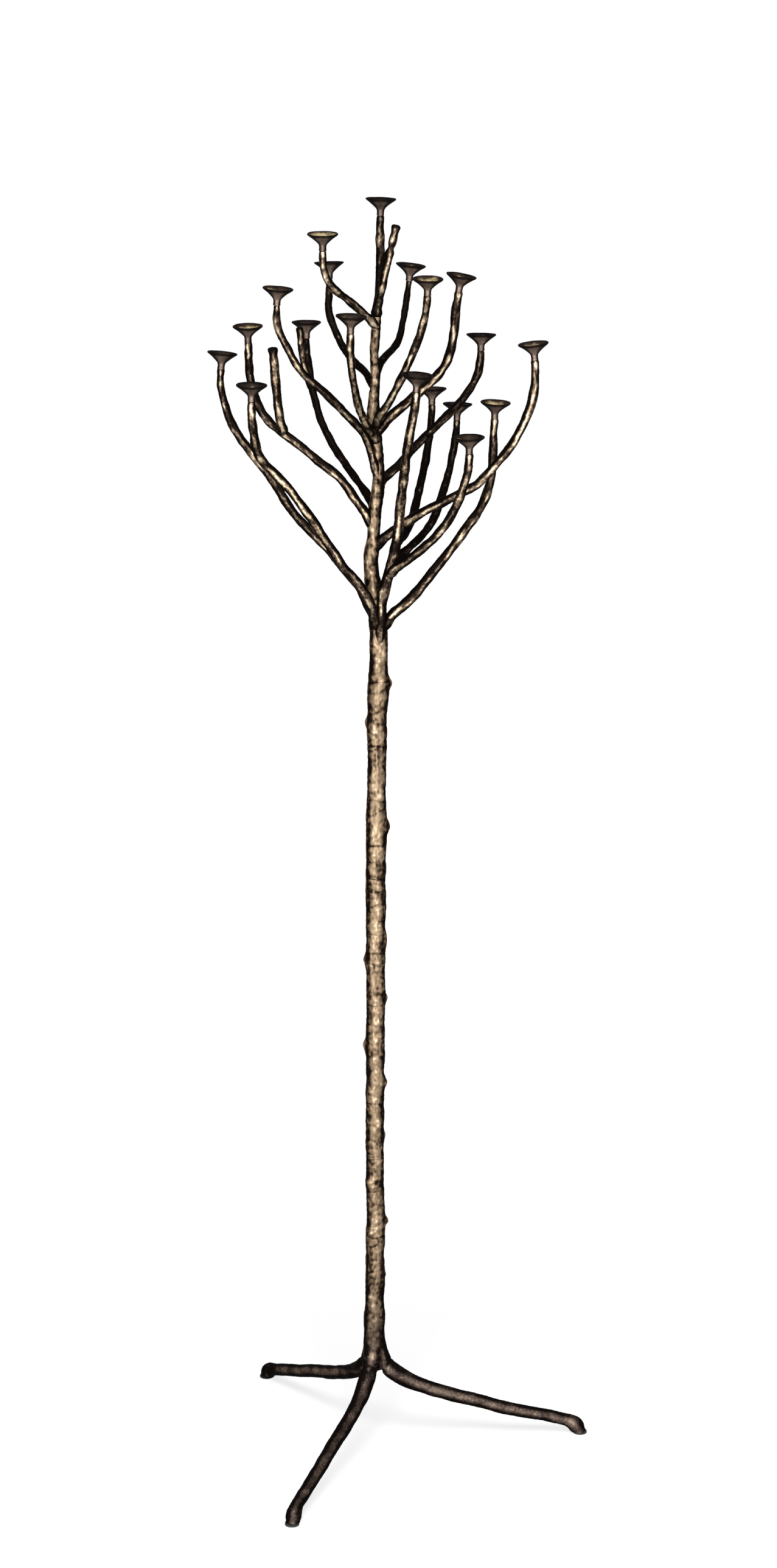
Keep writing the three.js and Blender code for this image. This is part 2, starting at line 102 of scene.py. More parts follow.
def objectPlace(tree):
    return tree.nodes.new("ShaderNodeTexCoord").outputs["Object"]


def noiseField(tree, place, scale, detail=4.0, stretch=None):
    field = tree.nodes.new("ShaderNodeTexNoise")
    field.inputs["Scale"].default_value = scale
    field.inputs["Detail"].default_value = detail
    if stretch:
        mapping = tree.nodes.new("ShaderNodeMapping")
        mapping.inputs["Scale"].default_value = stretch
        tree.links.new(place, mapping.inputs["Vector"])
        place = mapping.outputs["Vector"]
    tree.links.new(place, field.inputs["Vector"])
    return field.outputs["Fac"]


def mathNode(tree, operation, first, second):
    step = tree.nodes.new("ShaderNodeMath")
    step.operation = operation
    for i, value in enumerate((first, second)):
        if isinstance(value, (int, float)):
            step.inputs[i].default_value = value
        else:
            tree.links.new(value, step.inputs[i])
    return step.outputs[0]


def ramp(tree, value, stops):
    colours = tree.nodes.new("ShaderNodeValToRGB")
    tree.links.new(value, colours.inputs["Fac"])
    points = colours.color_ramp.elements
    while len(points) < len(stops):
        points.new(0.5)
    for point, (at, colour) in zip(points, stops):
        point.position = at
        point.color = (*colour, 1)
    return colours.outputs["Color"]


def addBump(tree, shader, height, strength, distance):
    bump = tree.nodes.new("ShaderNodeBump")
    bump.inputs["Strength"].default_value = strength
    bump.inputs["Distance"].default_value = distance
    tree.links.new(height, bump.inputs["Height"])
    tree.links.new(bump.outputs["Normal"], shader.inputs["Normal"])


bronze = {
    "roughSpan": (0.25, 0.8),  # how high the rougher and the smoother places of a look are
    "bumpDepth": 0.0005,
    "specular": 0.12,
    "specularTint": (0.03, 0.026, 0.023, 1),
}


def rubbedAndShadedBronze(name, look):
    # High places of the casting are rubbed pale, low ones hold the dark patina. The same value also carries
    # painted shade at the castings' sides and tops and on the back branches, and painted highlights in some
    # bowls
    material, tree, shader = newMaterial(name)
    place = attribute(tree, "grain", "Vector") if look.get("alongGrain") else objectPlace(tree)
    wearAndShade = attribute(tree, "wearAndShade", "Fac")
    patches = noiseField(tree, place, look["patch"], 4, look.get("patchStretch"))
    speckle = noiseField(tree, place, look["speckle"], 5, look.get("speckleStretch"))
    height = mathNode(tree, "MULTIPLY", wearAndShade, look["byWearAndShade"])
    height = mathNode(tree, "ADD", height, mathNode(tree, "MULTIPLY", patches, look["byPatch"]))
    height = mathNode(tree, "ADD", height, mathNode(tree, "MULTIPLY", speckle, look["bySpeckle"]))
    excess = (look["byWearAndShade"] + look["byPatch"] + look["bySpeckle"]) / 2 - 0.5
    height = mathNode(tree, "SUBTRACT", height, excess)
    colour = ramp(tree, height, look["stops"])
    if look.get("footStops"):
        # Near the floor the bark turns as dark as the legs
        rise = tree.nodes.new("ShaderNodeSeparateXYZ")
        tree.links.new(objectPlace(tree), rise.inputs["Vector"])
        blend = tree.nodes.new("ShaderNodeMapRange")
        blend.interpolation_type = "SMOOTHSTEP"
        tree.links.new(rise.outputs["Z"], blend.inputs["Value"])
        blend.inputs["From Min"].default_value, blend.inputs["From Max"].default_value = look["footFade"]
        mix = tree.nodes.new("ShaderNodeMix")
        mix.data_type = "RGBA"  # its colour sockets are inputs 6 and 7 and output 2
        tree.links.new(blend.outputs["Result"], mix.inputs[0])
        tree.links.new(ramp(tree, height, look["footStops"]), mix.inputs[6])
        tree.links.new(colour, mix.inputs[7])
        colour = mix.outputs[2]
    tree.links.new(colour, shader.inputs["Base Color"])
    roughStops = [(at, (rough,) * 3) for at, rough in zip(bronze["roughSpan"], look["rough"])]
    tree.links.new(ramp(tree, height, roughStops), shader.inputs["Roughness"])
    addBump(tree, shader, speckle, look["bump"], bronze["bumpDepth"])
    shader.inputs["Metallic"].default_value = look["metal"]
    shader.inputs["Specular IOR Level"].default_value = bronze["specular"]
    shader.inputs["Specular Tint"].default_value = bronze["specularTint"]
    return material


legStops = [(0.26, (0.007, 0.005, 0.004)), (0.5, (0.045, 0.032, 0.027)), (0.85, (0.17, 0.127, 0.097))]
barkLook = {
    "alongGrain": True, "patch": 90, "patchStretch": (1, 1, 0.9), "speckle": 170,
    "speckleStretch": (1, 1, 0.9), "byWearAndShade": 0.9, "byPatch": 0.5, "bySpeckle": 0.6, "rough": (0.5, 0.42),
    "bump": 0.8, "metal": 0.9,
    "stops": [(0.13, (0.008, 0.005, 0.004)), (0.3, (0.037, 0.024, 0.015)), (0.49, (0.18, 0.127, 0.08)),
              (0.66, (0.25, 0.18, 0.115)), (0.84, (0.55, 0.43, 0.3))],
    "footStops": legStops, "footFade": (0.11, 0.3),
}
twigLook = {
    "alongGrain": True, "patch": 190, "patchStretch": (1, 1, 0.55), "speckle": 320,
    "speckleStretch": (1, 1, 0.75), "byWearAndShade": 1.0, "byPatch": 0.7, "bySpeckle": 0.7, "rough": (0.5, 0.38),
    "bump": 0.8, "metal": 0.9,
    "stops": [(0.15, (0.006, 0.004, 0.003)), (0.4, (0.035, 0.024, 0.017)), (0.58, (0.14, 0.102, 0.07)),
              (0.7, (0.26, 0.194, 0.125)), (0.88, (0.56, 0.45, 0.31))],
}
legLook = {
    "patch": 45, "speckle": 320, "byWearAndShade": 0.7, "byPatch": 0.5, "bySpeckle": 0.4, "rough": (0.5, 0.4),
    "bump": 0.6, "metal": 0.9, "stops": legStops,
}
cupLook = {
    "patch": 70, "speckle": 420, "byWearAndShade": 0.5, "byPatch": 0.45, "bySpeckle": 0.3, "rough": (0.54, 0.44),
    "bump": 0.35, "metal": 0.8,
    "stops": [(0.15, (0.008, 0.006, 0.005)), (0.5, (0.08, 0.057, 0.046)), (0.8, (0.24, 0.175, 0.138))],
}
bowlLook = {
    "patch": 90, "speckle": 420, "byWearAndShade": 0.5, "byPatch": 0.6, "bySpeckle": 0.3, "rough": (0.54, 0.42),
    "bump": 0.35, "metal": 0.8,
    "stops": [(0.15, (0.006, 0.004, 0.004)), (0.5, (0.045, 0.031, 0.024)), (0.78, (0.5, 0.4, 0.22))],
}


def rubberMaterial():
    material, tree, shader = newMaterial("padRubber")
    speckle = noiseField(tree, objectPlace(tree), 900, 3)
    tree.links.new(ramp(tree, speckle, [(0.3, (0.012, 0.012, 0.012)), (0.7, (0.035, 0.034, 0.033))]),
                   shader.inputs["Base Color"])
    addBump(tree, shader, speckle, 0.4, 0.0003)
    shader.inputs["Roughness"].default_value = 0.85
    return material


def steelMaterial():
    material, tree, shader = newMaterial("turnedSteel")
    turned = noiseField(tree, objectPlace(tree), 300, 4, (1, 1, 9))
    tree.links.new(ramp(tree, turned, [(0.3, (0.3, 0.3, 0.3)), (0.7, (0.52, 0.52, 0.53))]),
                   shader.inputs["Base Color"])
    tree.links.new(ramp(tree, turned, [(0.3, (0.28,) * 3), (0.7, (0.46,) * 3)]), shader.inputs["Roughness"])
    addBump(tree, shader, turned, 0.3, 0.0003)
    shader.inputs["Metallic"].default_value = 1.0
    return material


finish = {
    "bark_bronze": rubbedAndShadedBronze("barkBronze", barkLook),
    "twig_bronze": rubbedAndShadedBronze("twigBronze", twigLook),
    "leg_bronze": rubbedAndShadedBronze("legBronze", legLook),
    "cup_bronze": rubbedAndShadedBronze("cupBronze", cupLook),
    "steel": steelMaterial(),
    "pad_rubber": rubberMaterial(),
}
bowlBronze = rubbedAndShadedBronze("bowlBronze", bowlLook)
print("finishes made")


# Helpers that every cast piece uses

def objectFrom(mesh, name):
    piece = bpy.data.objects.new(name, mesh)
    bpy.context.collection.objects.link(piece)
    return piece


def meshFrom(form, name):
    mesh = bpy.data.meshes.new(name)
    form.to_mesh(mesh)
    form.free()
    for face in mesh.polygons:
        face.use_smooth = True
    return mesh


def copyOfNode(name):
    form = bmesh.new()
    form.from_mesh(nodes[name].data)
    bmesh.ops.remove_doubles(form, verts=form.verts, dist=1e-5)
    return form


def skinOf(name):
    form = copyOfNode(name)
    skin = BVHTree.FromBMesh(form)
    form.free()
    return skin


def around(heading, across, rays):
    aside = heading.cross(across)
    turns = [math.tau * k / rays for k in range(rays)]
    return [across * math.cos(turn) + aside * math.sin(turn) for turn in turns]


walk = {
    "rays": 16,
    "reach": 0.03,  # the surface is nearer to the middle than this
    "stations": 150,  # at most
    "recent": 6,  # this many stations say how thick the piece has been
}


def sectionAt(skin, middle, heading):
    # Middle and mean radius of a cast piece, square to the heading
    across = heading.orthogonal().normalized()
    spots = []
    for way in around(heading, across, walk["rays"]):
        spot = skin.ray_cast(middle, way, walk["reach"])[0]
        if spot is None:
            return None
        spots.append(spot)
    centre = sum(spots, Vector()) / walk["rays"]
    return centre, sum((spot - centre).length for spot in spots) / walk["rays"]


def followLine(name, start, heading, stride=0.005, thinnest=0.82):
    # Walks down inside a cast piece and notes its middle and its radius, until the piece is cut away
    skin = skinOf(name)
    line = []
    middle = start
    while len(line) < walk["stations"]:
        found = sectionAt(skin, middle, heading)
        found = found and sectionAt(skin, found[0], heading)
        if not found:
            break
        centre, radius = found
        recent = sorted(radius for _, radius in line[-walk["recent"]:])
        if recent and radius < thinnest * recent[len(recent) // 2]:
            break
        if line:
            heading = (heading + (centre - line[-1][0]).normalized()).normalized()
        line.append((centre, radius))
        middle = centre + heading * stride
    return line, heading


def evened(line, times=2):
    # Takes the jumps between facets out of a line
    for _ in range(times):
        inner = []
        for before, here, after in zip(line, line[1:], line[2:]):
            inner.append(tuple((before[n] + here[n] * 2 + after[n]) / 4 for n in (0, 1)))
        line = [line[0], *inner, line[-1]]
    return line


def curved(line, step):
    # Close stations on a smooth curve through the line's points
    stations = []
    last = len(line) - 1
    for i in range(last):
        a, b, c, d = (line[min(max(k, 0), last)] for k in (i - 1, i, i + 1, i + 2))
        count = max(1, round((c[0] - b[0]).length / step))
        for k in range(count):
            t = k / count
            blend = []
            for n in (0, 1):
                squared = (a[n] * 2 - b[n] * 5 + c[n] * 4 - d[n]) * t * t
                cubed = (b[n] * 3 - a[n] - c[n] * 3 + d[n]) * t ** 3
                blend.append(b[n] + ((c[n] - a[n]) * t + (squared + cubed)) / 2)
            stations.append(tuple(blend))
    stations.append(line[-1])
    return stations


def rolledTube(stations, sides, reliefAt):
    # A sheet rolled up round the stations and closed at both ends. reliefAt gets a point's place along
    # and around the piece, its spot in space, the way that it faces and the piece's heading. It says
    # in mm how far the point stands out, and how worn it is together with the painted shade there. The
    # finish reads that wear and painted shade as one value, and the place as grain.
    rings = len(stations) - 1
    form = bmesh.new()
    bmesh.ops.create_grid(form, x_segments=sides, y_segments=rings, size=0.5)
    grain = form.verts.layers.float_vector.new("grain")
    wearAndShade = form.verts.layers.float.new("wearAndShade")
    frames = []
    across = Vector((1, 0, 0))
    along = 0
    for i, (centre, radius) in enumerate(stations):
        ahead = stations[min(i + 1, rings)][0] - stations[max(i - 1, 0)][0]
        heading = ahead.normalized()
        across = (across - heading * across.dot(heading)).normalized()
        along += (centre - stations[max(i - 1, 0)][0]).length
        frames.append((centre, radius, heading, across, heading.cross(across), along))
    for point in form.verts:
        centre, radius, heading, across, aside, along = frames[round((point.co.y + 0.5) * rings)]
        turn = math.tau * (point.co.x + 0.5)
        way = across * math.cos(turn) + aside * math.sin(turn)
        place = Vector((math.cos(turn) * radius, math.sin(turn) * radius, along))
        height, wornAndShaded = reliefAt(place, centre + way * radius, way, heading)
        point[grain] = place
        point[wearAndShade] = wornAndShaded
        point.co = centre + way * (radius + height * 0.001)
    bmesh.ops.remove_doubles(form, verts=form.verts, dist=1e-6)
    bmesh.ops.holes_fill(form, edges=form.edges)
    bmesh.ops.recalc_face_normals(form, faces=form.faces)
    return form


def cutBeside(form, spot, way, keepBeyond):
    # Cuts a piece flat, square to the way, and closes it
    cut = bmesh.ops.bisect_plane(form, geom=form.verts[:] + form.edges[:] + form.faces[:], dist=1e-6,
                                 plane_co=spot, plane_no=way, clear_outer=not keepBeyond,
                                 clear_inner=keepBeyond)
    edges = [item for item in cut["geom_cut"] if isinstance(item, bmesh.types.BMEdge)]
    bmesh.ops.holes_fill(form, edges=edges)


def cutAcross(form, height, keepAbove):
    cutBeside(form, (0, 0, height), (0, 0, 1), keepAbove)


def remeshed(form, voxel):
    rough = objectFrom(meshFrom(form, "rough"), "rough")
    modifier = rough.modifiers.new("skin", "REMESH")
    modifier.mode = "VOXEL"
    modifier.voxel_size = voxel
    graph = bpy.context.evaluated_depsgraph_get()
    skin = bpy.data.meshes.new_from_object(rough.evaluated_get(graph))
    old = rough.data
    bpy.data.objects.remove(rough)
    bpy.data.meshes.remove(old)
    fresh = bmesh.new()
    fresh.from_mesh(skin)
    bpy.data.meshes.remove(skin)
    return fresh


def dropVoids(form):
    # Keeps only the outer shell, which is the one that the topmost point is on
    kept = {max(form.verts, key=lambda point: point.co.z)}
    waiting = list(kept)
    while waiting:
        point = waiting.pop()
        for edge in point.link_edges:
            other = edge.other_vert(point)
            if other not in kept:
                kept.add(other)
                waiting.append(other)
    loose = [point for point in form.verts if point not in kept]
    bmesh.ops.delete(form, geom=loose, context="VERTS")


def softened(form, times):
    # Rounds the creases, then lets the surface out by as much as that drew it in
    before = form.calc_volume()
    for _ in range(times):
        bmesh.ops.smooth_vert(form, verts=form.verts, factor=0.5, use_axis_x=True, use_axis_y=True,
                              use_axis_z=True)
    drawnIn = (before - form.calc_volume()) / sum(face.calc_area() for face in form.faces)
    form.normal_update()
    for point in form.verts:
        point.co += point.normal * drawnIn


def eased(value, low, high):
    share = min(1, max(0, (value - low) / (high - low)))
    return share * share * (3 - 2 * share)


# Painted light: a narrow lit streak down the middle of each of a casting's two narrower sides
sideLitStreak = {"depth": 0.85, "begin": 0.94, "whole": 0.995}


def shadeLeftBeside(share):
    # The painted shade that is left where a casting faces one of its two narrower sides, where a painted
    # lit streak runs
    return 1 - sideLitStreak["depth"] * eased(share, sideLitStreak["begin"], sideLitStreak["whole"])


def paintedSideShadeAt(way, heading, paintedLight, clear, full):
    # Painted light and shade: a casting is painted lit on four sides, widest on the two along the given
    # direction, and painted shade lies between them: 1 where it is whole, 0 where it is painted lit.
    front = (paintedLight - heading * paintedLight.dot(heading)).normalized()
    side = heading.cross(front).normalized()
    return (1 - eased(abs(way.dot(front)), full, clear)) * shadeLeftBeside(abs(way.dot(side)))


def layered(spot, across, along, depth, seed):
    return depth * noise.noise(Vector((spot.x * across + seed, spot.y * across, spot.z * along)))


def furrowed(spot, across, along, depth, seed):
    ridge = abs(noise.noise(Vector((spot.x * across, spot.y * across + seed, spot.z * along))))
    return depth * (0.3 - ridge * 1.5)


def finishPiece(form, name, slotName, replaced, extra=()):
    piece = objectFrom(meshFrom(form, name), name)
    piece.data.materials.append(finish[slotName])
    for material in extra:
        piece.data.materials.append(material)
    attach(piece, body)
    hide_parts(*replaced)


# Trunk: one bark form over the cast lengths, parted where they meet

trunk = {
    "sides": 84,
    "ring": 0.0013,
    "stride": 0.006,
    "inset": 0.0004,  # the ends of a length are read this far inside it
    "rays": 24,
    "reach": 0.06,  # the surface is nearer to the middle than this
    "closest": 0.003,
    "halfGap": 0.00015,  # half the gap between two lengths
    "furrow": (130, 22, 0.5, 0.0),  # how often it repeats across and along, how deep in mm, and its seed
    "lump": (60, 42, 1.3, 3.1),
    "pit": (270, 180, 0.55, 7.7),
    "crossLine": (26, 58, 1.0, 5.2),
    "crownSpeckle": (140, 90, 0.42, 8.6),
    "bandWaver": (14, 30, 0.09, 1.3),  # how the painted shade bands waver
    # Height in mm, azimuth, how far it stands out in mm, half its height in mm and half its width
    "knots": [
        (265, 10, 2.0, 5, 0.3), (290, 140, 2.5, 9, 0.5), (350, -8, 4.6, 6, 0.36), (410, 230, 2.4, 8, 0.4),
        (482, 20, 2.4, 6, 0.4), (520, 110, 3, 9, 0.5), (563, -5, 3.2, 7, 0.4), (619, 178, 3, 8, 0.4),
        (655, 300, 1.6, 7, 0.4), (690, 12, 3, 7, 0.4), (749, 184, 3, 7, 0.4), (800, 80, 3.2, 9, 0.5),
        (905, 250, 2.0, 7, 0.4), (946, -4, 4.2, 9, 0.5), (1010, 120, 3, 9, 0.5), (1097, 176, 3.4, 8, 0.5),
        (1154, 5, 4.2, 7, 0.45), (1180, 262, 2.0, 8, 0.4), (141, 236, 1.6, 5, 0.35),
        (128, 240, 1.6, 5, 0.35), (181, 248, 1.2, 4, 0.3), (234, 238, 1.4, 3.5, 0.25),
        (334, 240, 1.7, 4, 0.25), (405, 262, 1.2, 4, 0.3), (862, 270, 1.2, 4, 0.4),
        (1085, 262, 1.4, 6, 0.4), (778, -4, 2.6, 13, 0.5),
    ],
    # Height in mm, reach up and down, and how much less it is rubbed there
    "darkenedBy": [(1262, 30, 0.22), (1512, 28, 0.2), (205, 60, 0.1), (1330, 30, -0.08)],
    # Height in mm, azimuth, half its height in mm, half its width, and how much lighter it is there; a
    # value below 0 makes it darker
    "toneSpots": [(1187, 235, 26, 0.5, -0.08), (1192, -55, 34, 0.4, 0.1), (1075, -58, 84, 0.4, 0.06),
             (845, 233, 70, 0.4, -0.1), (700, 234, 90, 0.4, -0.06)],
    # Fine grooves that run part of the way round: height in mm, azimuth and depth in mm
    "rings": [(1157, 270, 0.7), (1064, 265, 0.8), (1030, 70, 0.6), (919, 268, 0.8), (871, 272, 0.9),
              (853, 265, 0.8), (760, 100, 0.7), (683, 275, 0.6), (540, 60, 0.6), (452, 262, 0.5),
              (326, 300, 0.7), (135, 255, 0.9), (1240, 290, 0.7), (1440, 260, 0.7), (1516, 280, 0.8)],
    # How far a ring wavers and half its height in mm, and half its width
    "groove": {"waver": 1.2, "halfHeight": 0.9, "halfWidth": 1.3},
    "farOff": 2.5,  # past this many half heights, a knot or a ring is nothing
    # How worn the plain bark is and how much more or less by its forms, and how much painted shade darkens
    # it towards +X
    "wornAndShaded": {"plain": 0.59, "height": 0.4, "lump": 0.12, "knot": 0.16, "groove": 0.4, "right": 0.03},
    # Painted shade: the dark bands at the sides, between the painted-lit front and back
    "shadeBands": {"depth": 0.38, "turn": 0.06, "begin": 0.42, "whole": 0.86},
    # The cross lines: their width, depth in mm and darkness, and the heights in mm where they set in
    "cross": {"width": 0.09, "depth": 0.4, "dark": 0.17, "begin": 170, "whole": 320},
    # The crown stem is darker, and most of all towards +X, where that is painted shade: the heights in mm
    # where that sets in
    "crown": {"dark": 0.04, "right": 0.2, "begin": 1230, "whole": 1310},
}
trunkLengths = ("trunk_lower", "trunk_upper", "crown_stem")


def trunkLine():
    # Middle and radius of the trunk at even heights, read from outside so that bores don't count
    line = []
    inset, reach = trunk["inset"], trunk["reach"]
    ways = around(Vector((0, 0, 1)), Vector((1, 0, 0)), trunk["rays"])
    middle = trunkFoot.copy()
    for name in ("hub", *trunkLengths):
        skin = skinOf(name)
        low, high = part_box(name)
        steps = round((high.z - low.z) / trunk["stride"])
        for i in range(steps + 1):
            middle.z = low.z + inset + (high.z - low.z - 2 * inset) * i / steps
            for _ in range(2):
                spots = [skin.ray_cast(middle - way * reach, way, reach)[0] for way in ways]
                spots = [spot for spot in spots if spot]
                middle = sum(spots, Vector()) / len(spots)
            radii = sorted((spot - middle).length for spot in spots)
            line.append((middle.copy(), radii[len(radii) // 2]))
    kept = [line[0]]
    for station in line[1:]:
        if station[0].z - kept[-1][0].z > trunk["closest"]:
            kept.append(station)
    return evened(kept, 1)


def turnFrom(azimuth, degrees):
    # How far round it is from one azimuth to the other, by the shorter way
    turn = azimuth - math.radians(degrees)
    return math.atan2(math.sin(turn), math.cos(turn))


def barkRelief(spot, way=None):
    # Read in the trunk's own frame, so that its lengths and the hub match. The way is the one that the
    # spot faces; without it the spot's own place round the foot's axis is used.
    place = spot - trunkFoot
    facing = way or place
    azimuth = math.atan2(facing.y, facing.x)
    mm = place.z * 1000
    toneSteps, shadeBands, cross = trunk["wornAndShaded"], trunk["shadeBands"], trunk["cross"]
    crown, groove = trunk["crown"], trunk["groove"]
    lump = layered(place, *trunk["lump"])
    height = layered(place, *trunk["pit"]) + furrowed(place, *trunk["furrow"])
    # Painted shade: dark bands where the bark faces sideways
    side = abs(math.cos(azimuth - shadeBands["turn"]))
    kept = eased(side + layered(place, *trunk["bandWaver"]), shadeBands["begin"], shadeBands["whole"]) * shadeLeftBeside(side)
    wornAndShaded = toneSteps["plain"] + height * toneSteps["height"] + lump * toneSteps["lump"] - shadeBands["depth"] * kept
    # Painted shade, darker towards +X
    wornAndShaded -= toneSteps["right"] * math.cos(azimuth)
    line = math.exp(-(layered(place, *trunk["crossLine"]) / cross["width"]) ** 2)
    line *= eased(mm, cross["begin"], cross["whole"])
    height -= line * cross["depth"]
    # Painted shade on the crown stem, darker towards +X, broken by its speckle
    crownWearAndShade = crown["dark"] + crown["right"] * math.cos(azimuth) - layered(place, *trunk["crownSpeckle"])
    wornAndShaded -= line * cross["dark"] + eased(mm, crown["begin"], crown["whole"]) * crownWearAndShade
    for at, reach, less in trunk["darkenedBy"]:
        wornAndShaded -= less * math.exp(-((mm - at) / reach) ** 2)
    height += lump
    for at, degrees, out, halfHeight, halfWidth in trunk["knots"]:
        above = (mm - at) / halfHeight
        if abs(above) < trunk["farOff"]:
            aside = turnFrom(azimuth, degrees) / halfWidth
            knot = math.exp(-aside * aside - above * above)
            height += out * knot
            wornAndShaded += knot * toneSteps["knot"]
    for at, degrees, halfHeight, halfWidth, more in trunk["toneSpots"]:
        aside = turnFrom(azimuth, degrees) / halfWidth
        wornAndShaded += more * math.exp(-aside * aside - ((mm - at) / halfHeight) ** 2)
    for at, degrees, depth in trunk["rings"]:
        above = (mm - at + groove["waver"] * math.sin(azimuth * 2 + at)) / groove["halfHeight"]
        if abs(above) < trunk["farOff"]:
            aside = turnFrom(azimuth, degrees) / groove["halfWidth"]
            sunk = depth * math.exp(-aside ** 4 - above * above)
            height -= sunk
            wornAndShaded -= sunk * toneSteps["groove"]
    return height, wornAndShaded


def jointUnder(name):
    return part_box(name)[0].z - trunk["halfGap"]


def makeTrunk():
    line = trunkLine()
    whole = rolledTube(curved(line, trunk["ring"]), trunk["sides"],
                       lambda place, spot, way, heading: barkRelief(spot, way))
    for name, above in zip(trunkLengths, (*trunkLengths[1:], None)):
        form = whole.copy()
        cutAcross(form, jointUnder(name), True)
        if above:
            cutAcross(form, jointUnder(above), False)
        finishPiece(form, name + "Bark", "bark_bronze", [name])
    print("trunk made")
    return whole, line


trunkWhole, trunkMiddle = makeTrunk()


# Hub and legs: one flowing form, parted at the trunk's foot and at the root of each leg

tripod = {
    "sides": 40,
    "ring": 0.0022,
    "voxel": 0.0012,
    "softening": 7,
    "hubTakes": 0.26,  # this much of the trunk's form is melted in
    "partedAt": 0.0215,  # from the trunk's axis
    "crotch": [(0.0165, 0.124, 0.0118), (0.008, 0.143, 0.0125), (0.003, 0.166, 0.0125)],  # out, up, radius
    "nutWay": (0.0125, 0.13),  # radius, and the height that it reaches
    "nutEdge": 0.0006,  # what is this near to the way's wall is drawn onto it
    "walkFrom": 0.002,  # over the sole
    "stride": 0.004,
    "thinnest": 0.55,
    "past": 0.004,  # the tube goes this far through the sole, to be cut flat there
    "paintedLight": Vector((0, -0.94, 0.34)),  # the front, and a little from above, from which the painted light falls
    "darkenedBy": {"left": 0.08, "front": 0.16, "right": 0.0},  # how much less each leg is rubbed
    "wornAndShaded": 0.68,
    "kept": (0.55, 0.995, 0.72),  # how dark the painted side shade is, and where it ends and is whole
    "fall": 0.22,  # how steeply the legs run down
    "turnsUp": (0.09, 0.125),  # the heights between which the legs turn up to the hub
    "turnsDown": (0.015, 0.035),  # and between which they turn down to their hooves
    "barkFrom": (0.15, 0.02),  # the height from which the trunk's bark is read, and how far it takes
    "grainRadius": 0.0155,
    "lump": (60, 60, 0.6, 5.5),
    "pit": (300, 300, 0.35, 2.2),
}
legSides = ("left", "front", "right")


def footOf(side):
    low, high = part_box("foot_pad_" + side)
    return (low + high) / 2


def outwardOf(side):
    return (footOf(side) - trunkFoot).to_2d().normalized().to_3d()


def legTube(side):
    name = "leg_" + side
    foot = footOf(side)
    outward = outwardOf(side)
    up = Vector((0, 0, 1))
    sole = Vector((foot.x, foot.y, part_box(name)[0].z))
    line, _ = followLine(name, sole + up * tripod["walkFrom"], up, tripod["stride"], tripod["thinnest"])
    line = evened(line[:-1])
    line.insert(0, (sole - up * tripod["past"], line[0][1]))
    for out, height, radius in tripod["crotch"]:
        line.append((trunkFoot + outward * out + up * height, radius))
    return rolledTube(curved(line, tripod["ring"]), tripod["sides"], lambda *_: (0, 0.5))


def legHeight(spot):
    return layered(spot, *tripod["lump"]) + layered(spot, *tripod["pit"])


def addForm(form, other):
    mesh = meshFrom(other, "other")
    form.from_mesh(mesh)
    bpy.data.meshes.remove(mesh)


def openNutWay(form):
    # The underside is pushed up round the rod, as far as the washer's seat
    radius, top = tripod["nutWay"]
    for point in form.verts:
        out = (point.co - trunkFoot).to_2d()
        if out.length < radius + tripod["nutEdge"] and point.co.z < top:
            if out.length < radius - tripod["nutEdge"]:
                point.co.z = top
            else:
                point.co.x, point.co.y = trunkFoot.to_2d() + out.normalized() * radius


def legWearAndShade(spot, normal, plain, runs):
    # The leg that the spot is nearest to says which way the piece runs there
    side = max(legSides, key=lambda name: (spot - trunkFoot).dot(runs[name]))
    upright = max(eased(spot.z, *tripod["turnsUp"]), 1 - eased(spot.z, *tripod["turnsDown"]))
    heading = runs[side].lerp(Vector((0, 0, -1)), upright)
    depth, clear, full = tripod["kept"]
    wornAndShaded = tripod["wornAndShaded"] + plain / 2 - tripod["darkenedBy"][side] * (1 - upright)
    # Painted shade on the sides that face away from the front and from above
    return wornAndShaded - depth * paintedSideShadeAt(normal, heading, tripod["paintedLight"], clear, full)


def carveMelted(form):
    # The trunk's relief is in the melted form already, so only the legs get theirs here
    wearAndShade = form.verts.layers.float.new("wearAndShade")
    grain = form.verts.layers.float_vector.new("grain")
    barkFrom, barkTakes = tripod["barkFrom"]
    radius = tripod["grainRadius"]
    fall = Vector((0, 0, tripod["fall"]))
    runs = {side: (outwardOf(side) - fall).normalized() for side in legSides}
    moves = []
    for point in form.verts:
        bark = min(1, max(0, (point.co.z - barkFrom) / barkTakes))
        plain = legHeight(point.co)
        barkWearAndShade = barkRelief(point.co)[1] if bark else 0
        point[wearAndShade] = bark * barkWearAndShade + (1 - bark) * legWearAndShade(point.co, point.normal, plain, runs)
        turn = math.atan2(point.co.y - trunkFoot.y, point.co.x - trunkFoot.x)
        point[grain] = (math.cos(turn) * radius, math.sin(turn) * radius, point.co.z - hubLow.z)
        moves.append((point, point.normal * (1 - bark) * plain * 0.001))
    for point, move in moves:
        point.co += move


def makeTripod():
    form = trunkWhole
    cutAcross(form, tripod["hubTakes"], False)
    for side in legSides:
        addForm(form, legTube(side))
    form = remeshed(form, tripod["voxel"])
    softened(form, tripod["softening"])
    carveMelted(form)
    for side in legSides:
        outward = outwardOf(side)
        parting = trunkFoot + outward * tripod["partedAt"]
        limb = form.copy()
        cutBeside(limb, parting, outward, True)
        cutAcross(limb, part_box("leg_" + side)[0].z, True)
        finishPiece(limb, "leg_" + side + "Cast", "leg_bronze", ["leg_" + side])
        cutBeside(form, parting, outward, False)
    cutAcross(form, jointUnder("trunk_lower"), False)
    # A parting can leave a closed pocket inside, just behind its cap
    dropVoids(form)
    openNutWay(form)
    finishPiece(form, "hubCast", "bark_bronze", ["hub"])
    print("hub and legs made")


makeTripod()


# Branches and bare twigs

